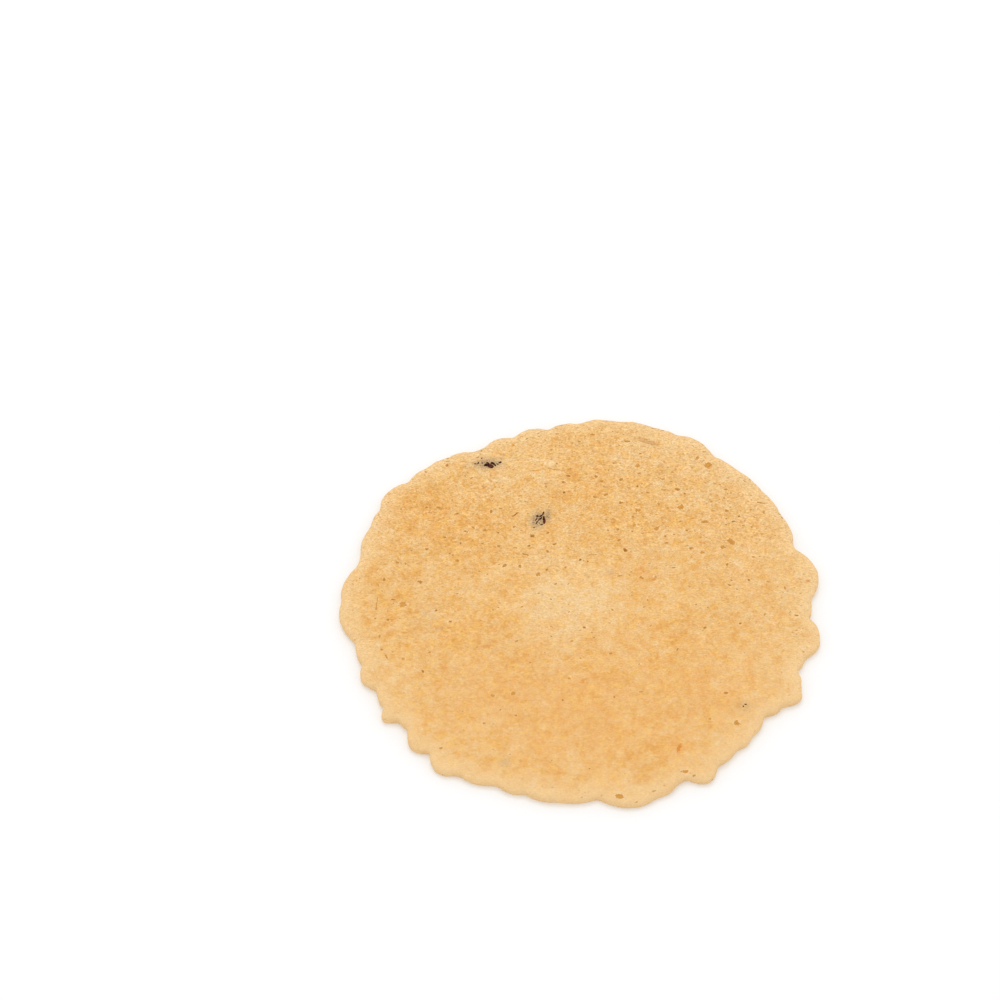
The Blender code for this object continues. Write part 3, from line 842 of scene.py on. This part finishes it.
# The warmer orange, and the browner foot of the rim: size in millimetres, detail and amount of
# the mottle, then where the colour starts, where it is full and its share there. The pale rim
# has the same, by millimetres in from the edge; its paleness is partly paler batter and partly
# painted light that lifts the shade of the rounded rim.
WARM_MOTTLE = ((1.6, 2.0), 3.2)
WARM_STEP = (-0.2, 1.4, 0.6)
FOOT_MOTTLE = ((1.8, 1.0), 0.9)
FOOT_STEP = (0.55, 1.0, 0.2)
PALE_AND_LIT_RIM_STEP = (3.6, 0.2, 0.75)

# Flecks: size in millimetres and detail of their noise, the two ends of its step, and share.
BUTTER_FLECKS = (0.9, 2.0, -0.02, 0.22, 0.55)
GOLD_FLECKS = (0.6, 2.0, 0.06, 0.24, 0.7)
CREAM_FLECKS = (0.5, 2.0, 0.06, 0.28, 0.45)
DUST_FLECKS = (0.22, 1.0, 0.0, 0.12, 0.75)

# How much a full stain greys the dough, the fold's painted shade as well, and the strengths
# between which dust sets in.
STAIN_AND_SHADE_SHARE = 0.85
DUSTY_STAIN = (0.45, 1.0)


def mottled(tree, place, mottle, start):
    """A start value plus one layer of mottle."""
    look, amount = mottle
    return calculate(tree, "MULTIPLY_ADD", noise(tree, place, *look), amount, start)


def toasted(tree, place):
    """Colour of the toast: soft patches and mottle, the folds' painted shade and highlight, and a
    warmer orange over some of it.
    """
    toast_and_fold_shade = layered(tree, place, MOTTLE, attribute(tree, "toast_and_fold_shade"))
    colour = dough_colour(PALE_DOUGH)
    for levels, *step in TOAST_COLOURS:
        colour = painted(tree, colour, step_between(tree, toast_and_fold_shade, *step), levels)
    warmth = mottled(tree, place, WARM_MOTTLE, attribute(tree, "warmth"))
    return painted(tree, colour, step_between(tree, warmth, *WARM_STEP), WARM_DOUGH)


def flecked(tree, place, rough, colour):
    """The colour with buttery flecks, and golden and creamy ones where the crumb is rough."""
    colour = painted(tree, colour, flecks(tree, place, *BUTTER_FLECKS), BUTTER_DOUGH)
    gold = product_of(tree, flecks(tree, place, *GOLD_FLECKS), rough)
    colour = painted(tree, colour, gold, FLECK_GOLD)
    cream = product_of(tree, flecks(tree, place, *CREAM_FLECKS), rough)
    return painted(tree, colour, cream, LIP_HIGHLIGHT_AND_CREAM)


def rimmed(tree, place, colour):
    """The colour with the rim paler and less yellow, part paler batter and part painted light, and
    its foot a little browner.
    """
    rim = step_between(tree, attribute(tree, "inset"), *PALE_AND_LIT_RIM_STEP)
    colour = painted(tree, colour, rim, PALE_AND_LIT_RIM)
    drop = mottled(tree, place, FOOT_MOTTLE, attribute(tree, "drop"))
    return painted(tree, colour, step_between(tree, drop, *FOOT_STEP), BROWN_DOUGH)


def stained_and_fold_shaded(tree, place, colour):
    """The colour with greyish stains and the fold's painted shade, and dark dust in the strongest.
    """
    stain_and_fold_shade = attribute(tree, "stain_and_fold_shade")
    colour = painted(tree, colour, product_of(tree, stain_and_fold_shade, STAIN_AND_SHADE_SHARE), STAIN_AND_SHADE_GREY)
    dusty = step_between(tree, stain_and_fold_shade, *DUSTY_STAIN)
    dust = product_of(tree, flecks(tree, place, *DUST_FLECKS), dusty)
    return painted(tree, colour, dust, PEPPER)


# A place in a mark or a pit is 0 in its middle and 1 at its outline, made ragged by layers of
# noise of a size in millimetres and an amount. FAR_OUT is added where there is no mark, which
# is wherever the mesh carries less than ALONE of one.
RAGGED = ((0.16, 0.9), (0.4, 1.3))
FAR_OUT = 9.0
ALONE = 0.98

# Tiny pits, dashes and finer specks: spacing, half-length and half-width in millimetres, and
# the share of cells that hold one where the crumb is roughest.
DASHES = (1.0, 0.3, 0.13, 0.4)
SPECKS = (0.55, 0.16, 0.12, 0.9)

# How far tiny pits turn in all, in radians, what chance adds to their size and the least of it,
# and the number that makes a second draw, their darkness, out of the first.
TINY_TURN = 1.5
TINY_SIZE = (0.8, 0.6)
SECOND_DRAW = 37.0


def tiny_pits_group():
    """Node group for tiny pits: a cell pattern in which some cells hold one small ellipsoid.

    Out is 0 in the middle of a pit, 1 at its outline and large where there is none. Dark is
    the pit's own random share of darkness.
    """
    inputs = ("Spacing", "Length", "Width", "Share")
    tree, given, end = new_group("tiny_pits", inputs, ("Out", "Dark"))
    scale = calculate(tree, "DIVIDE", 1.0, given["Spacing"])
    cells = add_node(tree, "ShaderNodeTexVoronoi", {"Vector": given["Place"], "Scale": scale})
    draw = add_node(tree, "ShaderNodeSeparateColor", {0: cells.outputs["Color"]}).outputs
    away = vector(tree, "SUBTRACT", given["Place"], cells.outputs["Position"])[0]
    turn = calculate(tree, "MULTIPLY_ADD", draw[1], TINY_TURN, -TINY_TURN / 2)
    turned = add_node(tree, "ShaderNodeVectorRotate", {
        "Vector": away, "Angle": turn,
    }, rotation_type="Z_AXIS").outputs[0]
    size = add_node(tree, "ShaderNodeCombineXYZ", {
        0: given["Length"], 1: given["Width"], 2: given["Width"],
    }).outputs[0]
    out = vector(tree, "LENGTH", vector(tree, "DIVIDE", turned, size)[0])["Value"]
    out = calculate(tree, "DIVIDE", out, calculate(tree, "MULTIPLY_ADD", draw[2], *TINY_SIZE))
    missing = calculate(tree, "GREATER_THAN", draw[0], given["Share"])
    tree.links.new(calculate(tree, "MULTIPLY_ADD", missing, FAR_OUT, out), end["Out"])
    dark = calculate(tree, "FRACT", calculate(tree, "MULTIPLY", draw[0], SECOND_DRAW))
    tree.links.new(dark, end["Dark"])
    return tree


def marks_carried(tree, name):
    """Place in the marks that the mesh carries under a name, and their darkness."""
    local = attribute(tree, name + "_place", "Vector")
    local = add_node(tree, "ShaderNodeSeparateXYZ", {0: local}).outputs
    flat = add_node(tree, "ShaderNodeCombineXYZ", {0: local[0], 1: local[1]}).outputs[0]
    out = vector(tree, "LENGTH", flat)["Value"]
    missing = calculate(tree, "LESS_THAN", attribute(tree, name + "_near"), ALONE)
    return calculate(tree, "MULTIPLY_ADD", missing, FAR_OUT, out), local[2]


def tiny_pits(tree, place, rough, group, kind):
    """Place in the tiny pits of one kind, and their darkness."""
    spacing, length, width, share = kind
    made = add_node(tree, "ShaderNodeGroup", {
        "Place": place, "Spacing": spacing, "Length": length, "Width": width,
        "Share": calculate(tree, "MULTIPLY", rough, share),
    }, node_tree=group)
    return made.outputs["Out"], made.outputs["Dark"]


# Colours laid in marks and pits, in turn. Each has one or two kinds of mark that it lies in,
# with the place where it starts, the place where it is full, how much darkness adds to its
# share and how much there is without. A ring is a bubble that darkens over RING_DARKENS.
RING_DARKENS = (0.4, 1.0)
PIT_COLOURS = (
    # The pale ring round bubbles and dashes is a painted highlight on their raised lips.
    (LIP_HIGHLIGHT_AND_CREAM, ("bubble", 1.8, 1.1, 0.0, 0.45), ("dash", 2.0, 1.1, 0.0, 0.45)),
    (CARAMEL, ("caramel", 1.25, 0.7, 0.85, 0.0)),
    (GLAZE_GOLD, ("bubble", 1.35, 0.75, 0.0, 0.9)),
    (CRUST_BROWN, ("ring", 1.35, 0.75, 0.7, 0.0)),
    (CRUST_BROWN, ("speck", 1.2, 0.7, 0.35, 0.1)),
    (CRUST_BROWN, ("dash", 1.3, 0.8, 0.0, 0.6)),
    (PIT_BROWN, ("bubble", 1.05, 0.5, 0.8, 0.0), ("dash", 1.15, 0.6, 0.5, 0.05)),
)


def share_in_pits(tree, pits, kind, start, full, by_darkness, least):
    """Share of a colour in one kind of pit: a smooth step, as high as its darkness makes it."""
    out, dark = pits[kind]
    most = calculate(tree, "MULTIPLY_ADD", dark, by_darkness, least)
    return step_between(tree, out, start, full, most)


def pitted(tree, place, rough, colour):
    """The colour with every kind of mark and pit laid in, and the place in each kind."""
    tiny = tiny_pits_group()
    found = {
        "bubble": marks_carried(tree, "bubble"),
        "caramel": marks_carried(tree, "caramel"),
        "dash": tiny_pits(tree, place, rough, tiny, DASHES),
        "speck": tiny_pits(tree, place, rough, tiny, SPECKS),
    }
    ragged = layered(tree, place, RAGGED, 0.0)
    pits = {
        kind: (calculate(tree, "ADD", out, ragged), dark) for kind, (out, dark) in found.items()
    }
    bubble = pits["bubble"][0]
    pits["ring"] = (bubble, step_between(tree, bubble, *RING_DARKENS))
    for levels, *layers in PIT_COLOURS:
        share = share_in_pits(tree, pits, *layers[0])
        for layer in layers[1:]:
            share = calculate(tree, "MAXIMUM", share, share_in_pits(tree, pits, *layer))
        colour = painted(tree, colour, share, levels)
    return colour, pits


# Grain: how places are scaled so that it is drawn out across, size in millimetres and amount
# of its layers, and how much it lightens and darkens red, green and blue. Shade is light and
# dark over the whole, in layers of the same form.
STREAKS = (0.55, 1.0, 1.0)
GRAIN = ((0.34, 0.5), (0.17, 0.9))
GRAIN_TINT = (0.62, 0.72, 1.0)
SHADE = ((5.0, 0.05), (2.0, 0.05), (0.9, 0.05), (0.45, 0.04))

# Relief too fine for the net, in millimetres: height of the grain and depth of the pits, then
# where in a pit its wall starts and ends.
GRAIN_HEIGHT = 0.05
PIT_DEPTHS = {"bubble": 0.025, "dash": 0.03, "speck": 0.01}
PIT_WALL = (1.2, 0.3)

DOUGH_ROUGHNESS = 0.8


def grained(tree, place, grain, colour):
    """The colour lightened and darkened by the grain, and by soft shade over the whole."""
    shade = layered(tree, place, SHADE, 1.0)
    tint = add_node(tree, "ShaderNodeCombineXYZ", {
        channel: calculate(tree, "MULTIPLY_ADD", grain, amount, shade)
        for channel, amount in enumerate(GRAIN_TINT)
    }).outputs[0]
    return vector(tree, "MULTIPLY", colour, tint)[0]


def fine_relief(tree, grain, pits):
    """Height of the grain in millimetres, less the depth of each kind of pit."""
    height = calculate(tree, "MULTIPLY", grain, GRAIN_HEIGHT)
    for kind, depth in PIT_DEPTHS.items():
        bowl = step_between(tree, pits[kind][0], *PIT_WALL)
        height = calculate(tree, "MULTIPLY_ADD", bowl, -depth, height)
    return height


def dough_material():
    """Baked dough: toast, flecks, the pale rim, stains, pits with painted highlights on their lips,
    and the grain.
    """
    material, tree, shader = principled("baked_dough")
    place = own_millimetres(tree)
    airy = attribute(tree, "airy")
    rough = product_of(tree, airy, airy)
    colour = toasted(tree, place)
    colour = flecked(tree, place, rough, colour)
    colour = rimmed(tree, place, colour)
    colour = stained_and_fold_shaded(tree, place, colour)
    colour, pits = pitted(tree, place, rough, colour)
    streaks = vector(tree, "MULTIPLY", place, STREAKS)[0]
    grain = product_of(tree, layered(tree, streaks, GRAIN, 0.0), airy)
    colour = grained(tree, place, grain, colour)
    finish_dry(tree, shader, colour, fine_relief(tree, grain, pits), DOUGH_ROUGHNESS)
    return material


dough = make_dough()
dough.data.materials.append(dough_material())
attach(dough, "root")
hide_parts("cookie")

# ----------------------------------------------------------------------------------------------
# The dark seeds: bits of seed husk, near black, that stuck in the batter and baked into its
# skin. They lie in shallow hollows of the top, broken into slivers, and stain the dough round
# them.
# ----------------------------------------------------------------------------------------------
# Each sliver, in millimetres: where, half-length, half-width, half-height and the way it points
# in degrees.
SEED_SLIVERS = (
    (-16.1, 30.3, 0.34, 0.24, 0.16, 20), (-15.8, 30.75, 0.24, 0.14, 0.14, -25),
    (-15.6, 30.25, 0.4, 0.3, 0.18, -20), (-15.3, 30.05, 0.5, 0.36, 0.2, -15),
    (-15.1, 30.75, 0.24, 0.15, 0.16, 10), (-14.8, 30.6, 0.42, 0.18, 0.16, -42),
    (-14.5, 30.25, 0.26, 0.13, 0.13, -65), (-15.1, 29.65, 0.22, 0.16, 0.14, 10),
    (-17.45, 30.75, 0.24, 0.11, 0.09, 55), (-18, 30.55, 0.26, 0.11, 0.09, 0),
    (-14.1, 30.5, 0.24, 0.1, 0.09, -40), (-13.65, 30.85, 0.26, 0.18, 0.11, 35),
    (-16.9, 31.85, 0.14, 0.11, 0.07, 0), (-16.7, 30.7, 0.14, 0.11, 0.07, 0),
    (-5.98, 17.85, 0.22, 0.92, 0.16, 3), (-6.15, 19.4, 0.13, 0.38, 0.12, -20),
    (-6.5, 18.95, 0.4, 0.13, 0.12, 38), (-7.12, 18.85, 0.21, 0.2, 0.13, -20),
    (-6.4, 16.95, 0.24, 0.13, 0.1, 15), (-7.75, 16.35, 0.12, 0.11, 0.07, 0),
    (-6.8, 18.2, 0.1, 0.5, 0.09, -36), (-7.38, 18.1, 0.08, 0.34, 0.07, -25),
    (-7.25, 17.4, 0.08, 0.4, 0.07, -30), (-6.48, 18.45, 0.11, 0.34, 0.09, -25),
    (27.8, -21.35, 0.22, 0.1, 0.07, -10), (27.42, -21.8, 0.08, 0.2, 0.06, -20),
)

# Every sliver: rings and sides of its net, how uneven it is and the size of its lumps, how far
# its middle stands proud of the dough as a share of its half-height, and its layer of noise.
SLIVER_RINGS = 12
SLIVER_SIDES = 18
SLIVER_UNEVENNESS = 0.3
SLIVER_LUMP = 0.22 * MM
SLIVER_LIFT = 0.4
SLIVER_LAYER = 30


def surface_height(mesh, x, y):
    """Height of the top's corner nearest to a place in plan."""
    corners = corners_of(mesh)
    away = np.hypot(corners[:, 0] - x, corners[:, 1] - y)
    away[corners[:, 2] < RIM_LEVEL] = np.inf
    return corners[np.argmin(away), 2]


def sliver_surface(row, number):
    """Corners and faces of one seed sliver.

    It is an ellipsoid given by its angle from the pole and its bearing, and pushed in and out
    by noise. Its two poles are closed by fans.
    """
    x, y, half_length, half_width, half_height, turn = row
    tilt = np.arange(1, SLIVER_RINGS) * math.pi / SLIVER_RINGS
    bearing = np.arange(SLIVER_SIDES) * math.tau / SLIVER_SIDES
    tilt, bearing = (part.ravel() for part in np.meshgrid(tilt, bearing, indexing="ij"))
    unit = np.column_stack([
        np.sin(tilt) * np.cos(bearing), np.sin(tilt) * np.sin(bearing), np.cos(tilt),
    ])
    unit = np.vstack([unit, [[0.0, 0.0, 1.0], [0.0, 0.0, -1.0]]])
    shape = unit * np.array([half_length, half_width, half_height]) * MM
    seat = np.array([x * MM, y * MM, surface_height(dough.data, x * MM, y * MM)])
    seat[2] += SLIVER_LIFT * half_height * MM
    lumps = smooth_noise(shape + seat, SLIVER_LUMP, SLIVER_LAYER + number)
    shape = shape * (1.0 + SLIVER_UNEVENNESS * lumps)[:, None]
    cos, sin = math.cos(math.radians(turn)), math.sin(math.radians(turn))
    points = shape @ np.array([[cos, sin, 0.0], [-sin, cos, 0.0], [0.0, 0.0, 1.0]]) + seat
    ring = np.arange((SLIVER_RINGS - 1) * SLIVER_SIDES).reshape(SLIVER_RINGS - 1, SLIVER_SIDES)
    after = np.roll(ring, -1, axis=1)
    squares = np.stack([ring[:-1], ring[1:], after[1:], after[:-1]], axis=-1).reshape(-1, 4)
    pole = ring.size
    cap = np.column_stack([np.full(SLIVER_SIDES, pole), ring[0], after[0]])
    base = np.column_stack([np.full(SLIVER_SIDES, pole + 1), after[-1], ring[-1]])
    return points, squares.tolist() + cap.tolist() + base.tolist()


def make_seeds():
    """All slivers in one mesh."""
    corners, faces, start = [], [], 0
    for number, row in enumerate(SEED_SLIVERS):
        points, sides = sliver_surface(row, number)
        corners.append(points)
        faces += [[corner + start for corner in side] for side in sides]
        start += len(points)
    return add_surface("dark_seeds", np.vstack(corners).tolist(), faces)


# Colours of the husk, the flecks of brown in it, size in millimetres, detail and height of its
# grain, and how rough it is.
HUSK_BLACK = (46, 16, 12)
HUSK_BROWN = (104, 48, 34)
SPLIT_FLECKS = (0.4, 1.0, -0.04, 0.12, 1.0)
HUSK_GRAIN = ((0.12, 2.0), 0.05)
HUSK_ROUGHNESS = 0.7


def seed_material():
    """Charred husk: near black, with a reddish brown where the skin has split."""
    material, tree, shader = principled("charred_husk")
    place = own_millimetres(tree)
    split = flecks(tree, place, *SPLIT_FLECKS)
    colour = painted(tree, dough_colour(HUSK_BLACK), split, HUSK_BROWN)
    grain = mottled(tree, place, HUSK_GRAIN, 0.0)
    finish_dry(tree, shader, colour, grain, HUSK_ROUGHNESS)
    return material


seeds = make_seeds()
seeds.data.materials.append(seed_material())
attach(seeds, "root")
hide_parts("cookie")

# ----------------------------------------------------------------------------------------------
# The studio: a matt white light table under the cookie, an even white sky all round, and one
# large soft light above and behind. The camera looks down on the cookie from the near side.
# ----------------------------------------------------------------------------------------------
# The table top: its side and its depth under the cookie in metres, its white, and the faint
# glow that comes up through it, both as shares of red, green and blue.
FLOOR_SIZE = 1.2
FLOOR_DEPTH = 0.00001
FLOOR_WHITE = (0.61, 0.65, 0.70)
FLOOR_GLOW = (0.305, 0.26, 0.205)

# The sky's strength, then the soft light's place and side in metres and its power in watts.
SKY_STRENGTH = 1.03
SOFT_LIGHT_PLACE = (-0.05, 0.30, 0.85)
SOFT_LIGHT_SIZE = 0.4
SOFT_LIGHT_WATTS = 1.3

# The camera: how steeply it looks down in degrees, its distance from the point that it aims at,
# that point and the width of the view there in metres, and its sensor in millimetres.
VIEW_ELEVATION = 52.0
VIEW_DISTANCE = 0.85
VIEW_AIM = (-0.01365, 0.02424, 0.0)
VIEW_WIDTH = 0.175
SENSOR_WIDTH = 36.0


def make_floor():
    """A square of floor just under the cookie, faintly lit from below."""
    half = FLOOR_SIZE / 2
    corners = [(x * half, y * half, -FLOOR_DEPTH) for x, y in ((-1, -1), (1, -1), (1, 1), (-1, 1))]
    obj = add_surface("floor", corners, [(0, 1, 2, 3)])
    material, _, shader = principled("white_floor")
    shader.inputs["Base Color"].default_value = (*FLOOR_WHITE, 1.0)
    shader.inputs["Emission Color"].default_value = (*FLOOR_GLOW, 1.0)
    shader.inputs["Emission Strength"].default_value = 1.0
    shader.inputs["Roughness"].default_value = 1.0
    shader.inputs["Specular IOR Level"].default_value = 0.0
    obj.data.materials.append(material)
    return obj


def make_light():
    """The even sky, and the soft light turned towards the cookie."""
    world = bpy.data.worlds.new("studio")
    world.use_nodes = True
    background = world.node_tree.nodes["Background"]
    background.inputs["Color"].default_value = (1.0, 1.0, 1.0, 1.0)
    background.inputs["Strength"].default_value = SKY_STRENGTH
    bpy.context.scene.world = world
    light = bpy.data.lights.new("soft_light", "AREA")
    light.size = SOFT_LIGHT_SIZE
    light.energy = SOFT_LIGHT_WATTS
    x, y, z = SOFT_LIGHT_PLACE
    obj = add_object("soft_light", light)
    obj.location = (x, y, z)
    obj.rotation_euler = (math.atan2(math.hypot(x, y), z), 0.0, math.atan2(x, -y))


def make_camera():
    """A camera that looks at the aim point from the near side, its view VIEW_WIDTH wide there."""
    camera = bpy.data.cameras.new("camera")
    camera.sensor_width = SENSOR_WIDTH
    camera.lens = SENSOR_WIDTH * VIEW_DISTANCE / VIEW_WIDTH
    obj = add_object("camera", camera)
    slope = math.radians(VIEW_ELEVATION)
    x, y, z = VIEW_AIM
    obj.location = (x, y - VIEW_DISTANCE * math.cos(slope), z + VIEW_DISTANCE * math.sin(slope))
    obj.rotation_euler = (math.pi / 2 - slope, 0.0, 0.0)
    bpy.context.scene.camera = obj


make_floor()
make_light()
make_camera()
bpy.context.scene.view_settings.view_transform = "Standard"
